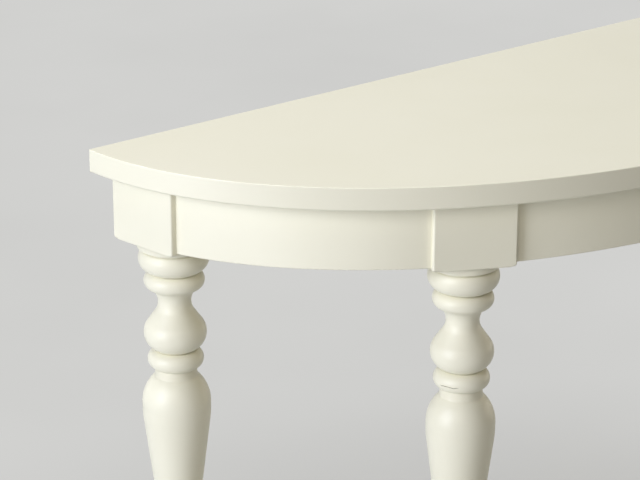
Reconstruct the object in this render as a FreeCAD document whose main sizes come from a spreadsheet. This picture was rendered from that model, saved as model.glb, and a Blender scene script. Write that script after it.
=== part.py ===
import FreeCAD, Part
import math
import os
import Sketcher
from FreeCAD import Placement, Rotation, Vector

# Demilune table: a half-oval top on three curved aprons, a straight back rail and four turned legs.
# Millimetres. The floor is z = 0, the straight back edge faces +Y and the bowed front faces -Y.

SIZES = {
    "table_height": 750,
    "top_width": 900,
    "top_depth": 322,
    "top_thickness": 19,
    "top_upper_round": 0.8,
    "top_lower_round": 2.2,
    "block_width": 68,
    "block_height": 57,
    "block_edge_round": 1.8,
    "block_setback": 15,
    "back_leg_gap": 0.5,
    "back_leg_turn": 82.5,
    "front_leg_station": 53.9,
    "root_radius": 30,
    "turning_root": 10,
    "shoulder_height": 6.5,
    "shoulder_radius": 29.4,
    "groove_fall_height": 0.4,
    "groove_fall_radius": 25.2,
    "groove_height": 2,
    "groove_radius": 25.2,
    "groove_rise_height": 0.3,
    "groove_rise_radius": 26.6,
    "collar_height": 19,
    "collar_radius": 16.3,
    "collar_crest_radius": 28.8,
    "collar_crest_drop": 9.2,
    "upper_ring_height": 14.9,
    "upper_ring_radius": 18.7,
    "upper_ring_crest_radius": 24.9,
    "upper_ring_crest_drop": 6.9,
    "neck_height": 20.2,
    "neck_radius": 16.6,
    "neck_crest_radius": 14.4,
    "neck_crest_drop": 6.4,
    "neck_flare_height": 7.9,
    "neck_flare_radius": 22.2,
    "bulb_height": 25.3,
    "bulb_radius": 15.2,
    "bulb_crest_radius": 25.7,
    "bulb_crest_drop": 12.3,
    "lower_ring_height": 15.9,
    "lower_ring_radius": 17,
    "lower_ring_crest_radius": 23.1,
    "lower_ring_crest_drop": 8,
    "waist_height": 7.2,
    "waist_radius": 17.8,
    "body_shoulder_height": 26.1,
    "body_shoulder_radius": 28.3,
    "body_shoulder_crest_radius": 26.3,
    "body_shoulder_crest_drop": 12.4,
    "body_crown_height": 15.5,
    "body_crown_radius": 27.35,
    "body_crown_crest_radius": 28.14,
    "body_crown_crest_drop": 7.75,
    "body_taper_height": 47,
    "body_taper_radius": 21.4,
    "shaft_cove_height": 130,
    "shaft_cove_radius": 13.2,
    "shaft_cove_crest_radius": 15.25,
    "shaft_cove_crest_drop": 65,
    "shaft_radius": 12.6,
    "ankle_ring_height": 15,
    "ankle_ring_radius": 13.0,
    "ankle_ring_crest_radius": 17.5,
    "ankle_ring_crest_drop": 7.5,
    "foot_swell_height": 22,
    "foot_swell_radius": 17.5,
    "foot_swell_crest_radius": 16.4,
    "foot_swell_crest_drop": 11,
    "foot_taper_height": 53,
    "foot_taper_radius": 12.0,
    "apron_height": 54.9,
    "apron_thickness": 20,
    "apron_end_setback": 15,
    "apron_front_setback": 20.5,
    "rail_thickness": 20,
    "rail_setback": 12,
    "bearer_width": 22,
    "bearer_height": 42,
    "dowel_diameter": 8,
    "dowel_length": 36,
    "dowel_chamfer": 0.8,
    "dowel_spacing": 28,
    "dowel_clearance": 0.05,
    "dowel_end_gap": 0.5,
    "bearer_dowel_length": 28,
    "bearer_dowel_spacing": 20,
    "glue_block_leg": 26,
    "glue_block_nose": 3,
    "glue_block_height": 46,
    "bracket_flange": 20,
    "bracket_width": 16,
    "bracket_thickness": 1.6,
    "bracket_bend": 1.2,
    "bracket_hole": 4.6,
    "bracket_hole_drop": 12,
    "bracket_seat_gap": 0.2,
    "side_bracket_station": 31,
    "front_bracket_station": 72,
    "rail_bracket_spread": 190,
    "screw_diameter": 3.8,
    "screw_point": 3,
    "screw_head_diameter": 7.4,
    "screw_head_height": 2.4,
    "screw_recess_width": 1.2,
    "screw_recess_length": 4.4,
    "screw_recess_depth": 1.4,
    "screw_clearance": 0.05,
    "bracket_screw_length": 13,
    "bearer_screw_bite": 11,
    "bearer_screw_spread": 130,
    "counterbore_diameter": 9,
    "counterbore_depth": 8,
    "glide_diameter": 22,
    "glide_height": 5,
    "glide_edge_round": 1.5,
    "nail_diameter": 2.4,
    "nail_length": 18,
    "nail_head_diameter": 8,
    "nail_head_height": 1.4,
    "nail_recess_depth": 2.6,
    "nail_clearance": 0.05,
}

# The turned stretches of a leg, from the block down. Each has a radius at its lower end and, if it is
# round, a crest that its arc passes through, this far down the stretch. The shaft takes up what is left
# of the leg's length, so it has no height of its own.
TURNING = (
    "shoulder",
    "groove_fall",
    "groove",
    "groove_rise",
    "collar",
    "upper_ring",
    "neck",
    "neck_flare",
    "bulb",
    "lower_ring",
    "waist",
    "body_shoulder",
    "body_crown",
    "body_taper",
    "shaft_cove",
    "shaft",
    "ankle_ring",
    "foot_swell",
    "foot_taper",
)

os.makedirs("parts", exist_ok=True)
doc = FreeCAD.newDocument("demilune_table")
sheet = doc.addObject("Spreadsheet::Sheet", "Sizes")
for row, (alias, value) in enumerate(SIZES.items(), start=1):
    sheet.set(f"A{row}", alias.replace("_", " "))
    sheet.set(f"B{row}", str(value))
    sheet.setAlias(f"B{row}", alias)
doc.recompute()


def size(alias):
    return float(sheet.get(alias))


def bind(thing, **expressions):
    for prop, expression in expressions.items():
        thing.setExpression(prop, expression)


nodes = []


def keep(piece, label):
    piece.Label = label
    nodes.append(piece)
    return piece


# Sketches and features inside a body


def new_body(name, place=Placement()):
    body = doc.addObject("PartDesign::Body", name)
    body.Placement = place
    return body


def new_sketch(body, name, role, offset=Placement()):
    sketch = body.newObject("Sketcher::SketchObject", name)
    origin_plane = next(item for item in body.Origin.OriginFeatures if item.Role == role)
    sketch.AttachmentSupport = [(origin_plane, "")]
    sketch.MapMode = "FlatFace"
    sketch.AttachmentOffset = offset
    return sketch


def driven(sketch, constraint, expression):
    index = sketch.addConstraint(constraint)
    sketch.setExpression(f"Constraints[{index}]", expression)


def add_circles(sketch, centres, diameter):
    first = None
    for centre in centres:
        circle = sketch.addGeometry(Part.Circle(Vector(*centre, 0), Vector(0, 0, 1), 1))
        sketch.addConstraint(Sketcher.Constraint("DistanceX", -1, 1, circle, 3, centre[0]))
        sketch.addConstraint(Sketcher.Constraint("DistanceY", -1, 1, circle, 3, centre[1]))
        if first is None:
            first = circle
            driven(sketch, Sketcher.Constraint("Diameter", circle, 2), diameter)
        else:
            sketch.addConstraint(Sketcher.Constraint("Equal", first, circle))


def add_rectangle(sketch, width_rule, height_rule):
    """Rectangle centred on the sketch's origin, drawn as a unit square that the rules then size."""
    corners = [Vector(-1, -1, 0), Vector(1, -1, 0), Vector(1, 1, 0), Vector(-1, 1, 0)]
    for index, corner in enumerate(corners):
        sketch.addGeometry(Part.LineSegment(corner, corners[(index + 1) % 4]))
    for index in range(4):
        sketch.addConstraint(Sketcher.Constraint("Coincident", index, 2, (index + 1) % 4, 1))
        sketch.addConstraint(Sketcher.Constraint("Vertical" if index % 2 else "Horizontal", index))
    sketch.addConstraint(Sketcher.Constraint("Symmetric", 0, 1, 1, 2, -1, 1))
    driven(sketch, Sketcher.Constraint("DistanceX", 0, 1, 0, 2, 2), width_rule)
    driven(sketch, Sketcher.Constraint("DistanceY", 1, 1, 1, 2, 2), height_rule)


def add_outline(sketch, points):
    """Closed straight-sided outline with every corner held in place."""
    corners = [Vector(*point, 0) for point in points]
    count = len(corners)
    for index, corner in enumerate(corners):
        sketch.addGeometry(Part.LineSegment(corner, corners[(index + 1) % count]))
    for index, corner in enumerate(corners):
        sketch.addConstraint(Sketcher.Constraint("Coincident", index, 2, (index + 1) % count, 1))
        sketch.addConstraint(Sketcher.Constraint("DistanceX", -1, 1, index, 1, corner.x))
        sketch.addConstraint(Sketcher.Constraint("DistanceY", -1, 1, index, 1, corner.y))


def feature(body, kind, name, sketch, length, reverse=False, midplane=False):
    item = body.newObject(f"PartDesign::{kind}", name)
    item.Profile = sketch
    item.setExpression("Length", length)
    item.Reversed = reverse
    item.Midplane = midplane
    doc.recompute()
    return item


def revolve(body, name, sketch):
    item = body.newObject("PartDesign::Revolution", name)
    item.Profile = sketch
    item.ReferenceAxis = (sketch, ["V_Axis"])
    item.Angle = 360
    doc.recompute()
    return item


def round_edges(body, name, base, wanted, radius):
    item = body.newObject("PartDesign::Fillet", name)
    edges = [f"Edge{number}" for number, edge in enumerate(base.Shape.Edges, start=1) if wanted(edge)]
    item.Base = (base, edges)
    item.setExpression("Radius", radius)
    doc.recompute()
    return item


# Places on the table. Every piece below takes its place from these.

BACK = size("top_depth") / 2
UNDERSIDE = size("table_height") - size("top_thickness")
LEG_LENGTH = UNDERSIDE - size("glide_height")
HALF_BLOCK = size("block_width") / 2
LEG_SETBACK = size("block_setback") + HALF_BLOCK
RAIL_FRONT = BACK - size("rail_setback") - size("rail_thickness")
RAIL_MIDDLE = BACK - size("rail_setback") - size("rail_thickness") / 2


def apron_oval(behind):
    """Half width and depth of the oval that lies this far behind the aprons' outer face."""
    across = size("top_width") / 2 - size("apron_end_setback") - behind
    return across, size("top_depth") - size("apron_front_setback") - behind


TOP_OVAL = (size("top_width") / 2, size("top_depth"))
APRON_MIDDLE = apron_oval(size("apron_thickness") / 2)
APRON_INSIDE = apron_oval(size("apron_thickness"))


def facing_place(point, facing, side):
    """Place turned so that local -Y faces this many degrees left of the front, or its mirror image."""
    return Placement(Vector(side * point.x, point.y, point.z), Rotation(Vector(0, 0, 1), -side * facing))


def oval_place(station, oval, side, setback):
    """Place a setback inside an oval, facing out. The station is the angle round it from its left end."""
    across, deep = oval
    turn = math.radians(station)
    normal = Vector(-math.cos(turn) / across, -math.sin(turn) / deep, 0).normalize()
    point = Vector(-across * math.cos(turn), BACK - deep * math.sin(turn), UNDERSIDE) - normal * setback
    return facing_place(point, math.degrees(math.atan2(-normal.x, -normal.y)), side)


def back_leg_place(side):
    """Place of a back leg: its block's rear corner lies just inside the top's straight back edge."""
    turn = math.radians(size("back_leg_turn"))
    behind = size("back_leg_gap") + HALF_BLOCK * (math.cos(turn) + math.sin(turn))
    across = size("top_width") / 2 - LEG_SETBACK
    deep = size("top_depth") - LEG_SETBACK
    point = Vector(-across * math.sqrt(1 - (behind / deep) ** 2), BACK - behind, UNDERSIDE)
    return facing_place(point, size("back_leg_turn"), side)


def oval_crossing(place, side, oval):
    """Local Y at which the plane of a leg block's side meets an oval."""
    across, deep = oval
    start = place.multVec(Vector(side * HALF_BLOCK, 0, 0))
    step = place.Rotation.multVec(Vector(0, 1, 0))
    from_x, from_y = start.x / across, (start.y - BACK) / deep
    step_x, step_y = step.x / across, step.y / deep
    square = step_x**2 + step_y**2
    half_linear = from_x * step_x + from_y * step_y
    constant = from_x**2 + from_y**2 - 1
    return (-half_linear - math.sqrt(half_linear**2 - square * constant)) / square


leg_places = {}
for side, hand in ((1, "left"), (-1, "right")):
    leg_places[f"{hand}_back"] = back_leg_place(side)
    leg_places[f"{hand}_front"] = oval_place(size("front_leg_station"), TOP_OVAL, side, LEG_SETBACK)

# The two curved-apron joints of each front leg are on opposite sides of its block. A back leg has one
# apron joint on its side and the rail joint on its inner face.
apron_of = {
    ("left_back", 1): "left_apron",
    ("left_front", -1): "left_apron",
    ("left_front", 1): "front_apron",
    ("right_front", -1): "front_apron",
    ("right_front", 1): "right_apron",
    ("right_back", -1): "right_apron",
}
dowel_heights = [
    -size("apron_height") / 2 + shift * size("dowel_spacing") / 2 for shift in (-1, 1)
]


def rail_crossing(place):
    """Local X on a back leg's inner face where the rail's middle line meets it."""
    start = place.multVec(Vector(0, HALF_BLOCK, 0))
    step = place.Rotation.multVec(Vector(1, 0, 0))
    return (RAIL_MIDDLE - start.y) / step.y


# Legs: a square block at the top and a turning below it, from one piece of wood

LEG_RULE = "Sizes.table_height - Sizes.top_thickness - Sizes.glide_height"
BORE_RULE = "Sizes.dowel_diameter + 2 * Sizes.dowel_clearance"
BORE_DEPTH_RULE = "Sizes.dowel_length / 2 + Sizes.dowel_end_gap"


def turning_stations():
    """Corners and crests of the profile, each as radius, depth and the two rules they follow."""
    below_shaft = TURNING[TURNING.index("shaft") + 1 :]
    root_rule = "Sizes.block_height - Sizes.turning_root"
    root = size("block_height") - size("turning_root")
    corners = [(0, root, None, root_rule)]
    corners.append((size("root_radius"), root, "Sizes.root_radius", root_rule))
    corners.append(
        (size("root_radius"), size("block_height"), "Sizes.root_radius", "Sizes.block_height")
    )
    crests = {}
    depth = size("block_height")
    rule = "Sizes.block_height"
    for stretch in TURNING:
        if f"{stretch}_crest_radius" in SIZES:
            crests[len(corners) - 1] = (
                size(f"{stretch}_crest_radius"),
                depth + size(f"{stretch}_crest_drop"),
                f"Sizes.{stretch}_crest_radius",
                f"{rule} + Sizes.{stretch}_crest_drop",
            )
        if stretch == "shaft":
            depth = LEG_LENGTH - sum(size(f"{name}_height") for name in below_shaft)
            rule = LEG_RULE + "".join(f" - Sizes.{name}_height" for name in below_shaft)
        else:
            depth += size(f"{stretch}_height")
            rule += f" + Sizes.{stretch}_height"
        corners.append((size(f"{stretch}_radius"), depth, f"Sizes.{stretch}_radius", rule))
    corners.append((0, LEG_LENGTH, None, LEG_RULE))
    return corners, crests


def profile_point(station):
    return Vector(station[0], -station[1], 0)


def hold_station(sketch, geometry, position, station):
    radius, depth, radius_rule, depth_rule = station
    if radius_rule is None:
        sketch.addConstraint(Sketcher.Constraint("PointOnObject", geometry, position, -2))
    else:
        driven(sketch, Sketcher.Constraint("DistanceX", -1, 1, geometry, position, radius), radius_rule)
    driven(sketch, Sketcher.Constraint("DistanceY", geometry, position, -1, 1, depth), depth_rule)


def turning_sketch(body):
    sketch = new_sketch(body, "turning_profile", "XZ_Plane")
    corners, crests = turning_stations()
    count = len(corners)
    for index, corner in enumerate(corners):
        start = profile_point(corner)
        end = profile_point(corners[(index + 1) % count])
        if index in crests:
            sketch.addGeometry(Part.Arc(start, profile_point(crests[index]), end))
        else:
            sketch.addGeometry(Part.LineSegment(start, end))

    def end_at(line, point):
        return min((1, 2), key=lambda position: (sketch.getPoint(line, position) - point).Length)

    for index, corner in enumerate(corners):
        point = profile_point(corner)
        before = (index - 1) % count
        position = end_at(index, point)
        joint = Sketcher.Constraint("Coincident", before, end_at(before, point), index, position)
        sketch.addConstraint(joint)
        hold_station(sketch, index, position, corner)
    for index, crest in crests.items():
        mark = sketch.addGeometry(Part.Point(profile_point(crest)), True)
        hold_station(sketch, mark, 1, crest)
        sketch.addConstraint(Sketcher.Constraint("PointOnObject", mark, 1, index))
    return sketch


def make_leg(name, place):
    body = new_body(f"{name}_leg", place)
    square = new_sketch(body, "block_outline", "XY_Plane")
    add_rectangle(square, "Sizes.block_width", "Sizes.block_width")
    block = feature(body, "Pad", "block", square, "Sizes.block_height", reverse=True)
    middle = -size("block_height") / 2
    round_edges(
        body, "block_rounds", block, lambda edge: edge.BoundBox.ZMin < middle, "Sizes.block_edge_round"
    )
    revolve(body, "turning", turning_sketch(body))

    for side in [side for leg, side in apron_of if leg == name]:
        offset = Placement(Vector(0, 0, side * HALF_BLOCK), Rotation())
        bores = new_sketch(body, "apron_bores", "YZ_Plane", offset)
        across = oval_crossing(place, side, APRON_MIDDLE)
        add_circles(bores, [(across, height) for height in dowel_heights], BORE_RULE)
        feature(body, "Pocket", "apron_bore_cut", bores, BORE_DEPTH_RULE, reverse=side < 0)
    if name.endswith("back"):
        offset = Placement(Vector(0, 0, -HALF_BLOCK), Rotation())
        bores = new_sketch(body, "rail_bores", "XZ_Plane", offset)
        add_circles(bores, [(rail_crossing(place), height) for height in dowel_heights], BORE_RULE)
        feature(body, "Pocket", "rail_bore_cut", bores, BORE_DEPTH_RULE, reverse=True)

    offset = Placement(Vector(0, 0, -LEG_LENGTH), Rotation())
    nail_hole = new_sketch(body, "nail_hole", "XY_Plane", offset)
    nail_hole.setExpression(".AttachmentOffset.Base.z", f"-({LEG_RULE})")
    add_circles(nail_hole, [(0, 0)], "Sizes.nail_diameter + 2 * Sizes.nail_clearance")
    nail_depth = "Sizes.nail_length - Sizes.glide_height + Sizes.nail_recess_depth + Sizes.dowel_end_gap"
    feature(body, "Pocket", "nail_hole_cut", nail_hole, nail_depth, reverse=True)
    return keep(body, f"{name}_leg")


for leg_name, leg_place in leg_places.items():
    make_leg(leg_name, leg_place)


# Curved aprons: one half-oval band, sawn square to the block sides it meets


def oval_solid(name, end_rule, front_rule):
    outline = doc.addObject("Part::Ellipse", f"{name}_outline")
    bind(
        outline,
        MajorRadius=f"Sizes.top_width / 2 - ({end_rule})",
        MinorRadius=f"Sizes.top_depth - ({front_rule})",
    )
    outline.Placement = Placement(Vector(0, BACK, UNDERSIDE - size("apron_height")), Rotation())
    solid = doc.addObject("Part::Extrusion", name)
    solid.Base = outline
    solid.DirMode = "Custom"
    solid.Dir = Vector(0, 0, 1)
    solid.Solid = True
    solid.setExpression("LengthFwd", "Sizes.apron_height")
    return solid


def space_beyond(name, place, x_side=0, y_side=0):
    """Box of all the space past one side of a leg's block, as deep as the aprons."""
    box = doc.addObject("Part::Box", name)
    bind(box, Length="Sizes.top_width", Width="Sizes.top_width", Height="Sizes.apron_height")
    reach = size("top_width")
    middle_x = x_side * (HALF_BLOCK + reach / 2)
    middle_y = y_side * (HALF_BLOCK + reach / 2)
    corner = Vector(middle_x - reach / 2, middle_y - reach / 2, -size("apron_height"))
    box.Placement = place * Placement(corner, Rotation())
    return box


def common(name, shapes):
    result = doc.addObject("Part::MultiCommon", name)
    result.Shapes = shapes
    return result


def drill(name, blank, bores):
    """The blank with round bores, each given as a place on its axis, a diameter rule and a length."""
    cutters = []
    for place, diameter_rule, length in bores:
        cutter = doc.addObject("Part::Cylinder", f"{name}_bore")
        cutter.setExpression("Radius", f"({diameter_rule}) / 2")
        cutter.Height = length
        cutter.Placement = place
        cutters.append(cutter)
    tools = doc.addObject("Part::Compound", f"{name}_bores")
    tools.Links = cutters
    result = doc.addObject("Part::Cut", name)
    result.Base = blank
    result.Tool = tools
    return keep(result, name)


def dowel_place(place, point, direction, length):
    """Place of a dowel or bore of this length that is centred on a point of a joint."""
    turn = Rotation(Vector(0, 0, 1), direction)
    return place * Placement(point - direction * (length / 2), turn)


def make_dowels(label, joints, length_rule, length):
    pegs = []
    for place, point, direction in joints:
        peg = doc.addObject("Part::Cylinder", f"{label}_peg")
        bind(peg, Radius="Sizes.dowel_diameter / 2", Height=length_rule)
        peg.Placement = dowel_place(place, point, direction, length)
        eased = doc.addObject("Part::Chamfer", f"{label}_eased_peg")
        eased.Base = peg
        chamfer = size("dowel_chamfer")
        eased.Edges = [(1, chamfer, chamfer), (3, chamfer, chamfer)]
        pegs.append(eased)
    group = doc.addObject("Part::Compound", label)
    group.Links = pegs
    return keep(group, label)


apron_band = doc.addObject("Part::Cut", "apron_band")
apron_band.Base = oval_solid("apron_outside", "Sizes.apron_end_setback", "Sizes.apron_front_setback")
inner_oval = oval_solid(
    "apron_inside",
    "Sizes.apron_end_setback + Sizes.apron_thickness",
    "Sizes.apron_front_setback + Sizes.apron_thickness",
)
apron_band.Tool = inner_oval

# Every joint of a curved apron, and of the rail, as leg place, point in the leg's frame and direction
joints = {"left_apron": [], "front_apron": [], "right_apron": [], "back_rail": []}
ends = {"left_apron": [], "front_apron": [], "right_apron": [], "back_rail": []}
for (leg_name, side), apron in apron_of.items():
    place = leg_places[leg_name]
    across = oval_crossing(place, side, APRON_MIDDLE)
    for height in dowel_heights:
        joints[apron].append((place, Vector(side * HALF_BLOCK, across, height), Vector(side, 0, 0)))
    ends[apron].append(space_beyond(f"{apron}_side", place, x_side=side))
for leg_name in ("left_back", "right_back"):
    place = leg_places[leg_name]
    for height in dowel_heights:
        point = Vector(rail_crossing(place), HALF_BLOCK, height)
        joints["back_rail"].append((place, point, Vector(0, 1, 0)))
    ends["back_rail"].append(space_beyond("back_rail_side", place, y_side=1))

dowel_bore_length = size("dowel_length") + 2 * size("dowel_end_gap")


def joint_bores(apron):
    return [
        (dowel_place(place, point, direction, dowel_bore_length), BORE_RULE, dowel_bore_length)
        for place, point, direction in joints[apron]
    ]


# Top brackets: steel angles under the top, each held by one screw up and one screw out

SCREW_BORE_RULE = "Sizes.screw_diameter + 2 * Sizes.screw_clearance"
BRACKET_BITE = size("bracket_screw_length") - size("bracket_thickness") + size("dowel_end_gap")
OUTWARD = Rotation(Vector(0, 0, 1), Vector(0, -1, 0))


def rail_bracket_place(side):
    point = Vector(side * size("rail_bracket_spread"), RAIL_FRONT - size("bracket_seat_gap"), UNDERSIDE)
    return Placement(point, Rotation(Vector(0, 0, 1), 180))


def apron_bracket_place(station, side):
    return oval_place(size(station), APRON_INSIDE, side, size("bracket_seat_gap"))


bracket_places = {
    "left_apron_bracket": apron_bracket_place("side_bracket_station", 1),
    "front_apron_left_bracket": apron_bracket_place("front_bracket_station", 1),
    "front_apron_right_bracket": apron_bracket_place("front_bracket_station", -1),
    "right_apron_bracket": apron_bracket_place("side_bracket_station", -1),
    "back_rail_left_bracket": rail_bracket_place(-1),
    "back_rail_right_bracket": rail_bracket_place(1),
}


def make_bracket(label, place):
    flange = size("bracket_flange")
    plate = size("bracket_thickness")
    body = new_body(label, place)
    angle = new_sketch(body, "angle_section", "YZ_Plane")
    add_outline(
        angle, [(0, 0), (0, -flange), (plate, -flange), (plate, -plate), (flange, -plate), (flange, 0)]
    )
    bar = feature(body, "Pad", "angle", angle, "Sizes.bracket_width", midplane=True)

    def along_bend(edge, reach):
        box = edge.BoundBox
        at_corner = abs(box.YMin - reach) < plate / 4 and abs(box.ZMin + reach) < plate / 4
        return at_corner and box.XLength > plate

    inside = round_edges(
        body, "inner_bend", bar, lambda edge: along_bend(edge, plate), "Sizes.bracket_bend"
    )
    round_edges(
        body,
        "outer_bend",
        inside,
        lambda edge: along_bend(edge, 0),
        "Sizes.bracket_bend + Sizes.bracket_thickness",
    )
    drop = size("bracket_hole_drop")
    for name, role, centre in (("apron_hole", "XZ_Plane", (0, -drop)), ("top_hole", "XY_Plane", (0, drop))):
        hole = new_sketch(body, name, role)
        add_circles(hole, [centre], "Sizes.bracket_hole")
        feature(body, "Pocket", f"{name}_cut", hole, "2 * Sizes.bracket_thickness")
    return keep(body, label)


def bracket_bore(label):
    start = Vector(0, size("bracket_thickness"), -size("bracket_hole_drop"))
    place = bracket_places[label] * Placement(start, OUTWARD)
    return place, SCREW_BORE_RULE, size("bracket_thickness") + BRACKET_BITE


for bracket_name, bracket_place in bracket_places.items():
    make_bracket(bracket_name, bracket_place)

# Centre bearer: a cross piece from the back rail to the front apron, which carries the top's middle

BEARER_BOTTOM = UNDERSIDE - size("bearer_height")
APRON_INNER_FRONT = BACK - APRON_INSIDE[1]
bearer_joints = []
for joint_y in (APRON_INNER_FRONT, RAIL_FRONT):
    for shift in (-1, 1):
        height = UNDERSIDE - size("bearer_height") / 2 + shift * size("bearer_dowel_spacing") / 2
        bearer_joints.append((Placement(), Vector(0, joint_y, height), Vector(0, 1, 0)))
bearer_bore_length = size("bearer_dowel_length") + 2 * size("dowel_end_gap")
bearer_bores = [
    (dowel_place(place, point, direction, bearer_bore_length), BORE_RULE, bearer_bore_length)
    for place, point, direction in bearer_joints
]
bearer_middle = (APRON_INNER_FRONT + RAIL_FRONT) / 2
bearer_screw_places = []
screw_seat = BEARER_BOTTOM + size("counterbore_depth")
for shift in (-1, 1):
    seat = Vector(0, bearer_middle + shift * size("bearer_screw_spread") / 2, screw_seat)
    bearer_screw_places.append(Placement(seat, Rotation()))
screw_bores = []
for place in bearer_screw_places:
    screw_bores.append((place, SCREW_BORE_RULE, size("bearer_height")))
    mouth = place * Placement(Vector(0, 0, -size("counterbore_depth")), Rotation())
    screw_bores.append((mouth, "Sizes.counterbore_diameter", size("counterbore_depth")))

bearer_blank = doc.addObject("Part::Box", "bearer_blank")
bind(
    bearer_blank,
    Length="Sizes.bearer_width",
    Width="Sizes.top_depth - Sizes.rail_setback - Sizes.rail_thickness",
    Height="Sizes.bearer_height",
)
bearer_corner = Vector(-size("bearer_width") / 2, BACK - size("top_depth"), BEARER_BOTTOM)
bearer_blank.Placement = Placement(bearer_corner, Rotation())
drill("centre_bearer", common("bearer_fitted", [bearer_blank, inner_oval]), bearer_bores + screw_bores)
make_dowels("bearer_dowels", bearer_joints, "Sizes.bearer_dowel_length", size("bearer_dowel_length"))

# Aprons and back rail, sawn at the blocks and bored for their dowels and bracket screws

apron_brackets = {
    "left_apron": ["left_apron_bracket"],
    "front_apron": ["front_apron_left_bracket", "front_apron_right_bracket"],
    "right_apron": ["right_apron_bracket"],
    "back_rail": ["back_rail_left_bracket", "back_rail_right_bracket"],
}
rail_blank = doc.addObject("Part::Box", "rail_blank")
bind(rail_blank, Length="Sizes.top_width", Width="Sizes.rail_thickness", Height="Sizes.apron_height")
rail_corner = Vector(-size("top_width") / 2, RAIL_FRONT, UNDERSIDE - size("apron_height"))
rail_blank.Placement = Placement(rail_corner, Rotation())

for apron, apron_ends in ends.items():
    blank = rail_blank if apron == "back_rail" else apron_band
    bores = joint_bores(apron) + [bracket_bore(label) for label in apron_brackets[apron]]
    if apron in ("front_apron", "back_rail"):
        bores += bearer_bores
    drill(apron, common(f"{apron}_sawn", [blank] + apron_ends), bores)
    make_dowels(f"{apron}_dowels", joints[apron], "Sizes.dowel_length", size("dowel_length"))

# Glue blocks: blunt triangular blocks in the inner corners, shaped to the curve behind them


def wedge(name, place, corner, x_sign):
    """Blunt triangular prism with its square corner at this point, along local X and inward along Y."""
    leg = size("glue_block_leg")
    prism = doc.addObject("Part::Wedge", name)
    long_side = sorted((0, x_sign * leg))
    nose_side = sorted((0, x_sign * size("glue_block_nose")))
    prism.Xmin, prism.Xmax = long_side
    prism.X2min, prism.X2max = nose_side
    prism.Ymin, prism.Ymax = 0, leg
    prism.Zmin, prism.Zmax = 0, size("glue_block_height")
    prism.Z2min, prism.Z2max = 0, size("glue_block_height")
    prism.Placement = place * Placement(corner - Vector(0, 0, size("glue_block_height")), Rotation())
    return prism


for (leg_name, side), apron in apron_of.items():
    place = leg_places[leg_name]
    label = f"{leg_name}_{apron}_glue_block"
    behind = oval_crossing(place, side, APRON_INSIDE) - size("apron_thickness") / 2
    rough = wedge(f"{label}_rough", place, Vector(side * HALF_BLOCK, behind, 0), side)
    keep(common(label, [rough, inner_oval]), label)

space_before_rail = doc.addObject("Part::Box", "space_before_rail")
bind(space_before_rail, Length="Sizes.top_width", Width="Sizes.top_depth", Height="Sizes.apron_height")
space_before_rail.Placement = Placement(rail_corner - Vector(0, size("top_depth"), 0), Rotation())
for leg_name, side in (("left_back", 1), ("right_back", -1)):
    place = leg_places[leg_name]
    label = f"{leg_name}_rail_glue_block"
    corner = Vector(rail_crossing(place), HALF_BLOCK, 0)
    rough = wedge(f"{label}_rough", place, corner, side)
    keep(common(label, [rough, space_before_rail]), label)

# Top: one half-oval board, its bowed edge just eased above and rounded below, with pilot holes for the
# screws underneath

hole_offset = Placement(Vector(0, size("bracket_hole_drop"), 0), Rotation())
top_screws = [place * hole_offset for place in bracket_places.values()]
top = new_body("table_top", Placement(Vector(0, BACK, UNDERSIDE), Rotation()))
half_oval = new_sketch(top, "half_oval", "XY_Plane")
half_width = size("top_width") / 2
full_oval = Part.Ellipse(Vector(half_width, 0, 0), Vector(0, size("top_depth"), 0), Vector(0, 0, 0))
half_oval.addGeometry(Part.ArcOfEllipse(full_oval, math.pi, 2 * math.pi))
half_oval.addGeometry(Part.LineSegment(Vector(half_width, 0, 0), Vector(-half_width, 0, 0)))
half_oval.exposeInternalGeometry(0)
half_oval.addConstraint(
    [
        Sketcher.Constraint("Coincident", 0, 2, 1, 1),
        Sketcher.Constraint("Coincident", 1, 2, 0, 1),
        Sketcher.Constraint("Coincident", 0, 3, -1, 1),
        Sketcher.Constraint("PointOnObject", 0, 1, -1),
        Sketcher.Constraint("PointOnObject", 0, 2, -1),
        Sketcher.Constraint("Horizontal", 2),
    ]
)
driven(half_oval, Sketcher.Constraint("Distance", 2, size("top_width")), "Sizes.top_width")
driven(half_oval, Sketcher.Constraint("Distance", 3, 2 * size("top_depth")), "2 * Sizes.top_depth")
board = feature(top, "Pad", "board", half_oval, "Sizes.top_thickness")


def bowed(edge, upper):
    at_top = edge.BoundBox.ZMin > size("top_thickness") / 2
    return isinstance(edge.Curve, Part.Ellipse) and at_top == upper


eased = round_edges(top, "upper_round", board, lambda edge: bowed(edge, True), "Sizes.top_upper_round")
round_edges(top, "lower_round", eased, lambda edge: bowed(edge, False), "Sizes.top_lower_round")
for name, places, depth in (
    ("bracket_pilots", top_screws, BRACKET_BITE),
    ("bearer_pilots", bearer_screw_places, size("bearer_screw_bite") + size("dowel_end_gap")),
):
    pilots = new_sketch(top, name, "XY_Plane")
    add_circles(pilots, [(place.Base.x, place.Base.y - BACK) for place in places], SCREW_BORE_RULE)
    feature(top, "Pocket", f"{name}_cut", pilots, f"{depth}", reverse=True)
keep(top, "table_top")

# Screws: turned pan heads with a cross recess, their seats at local z = 0 and their points up


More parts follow.
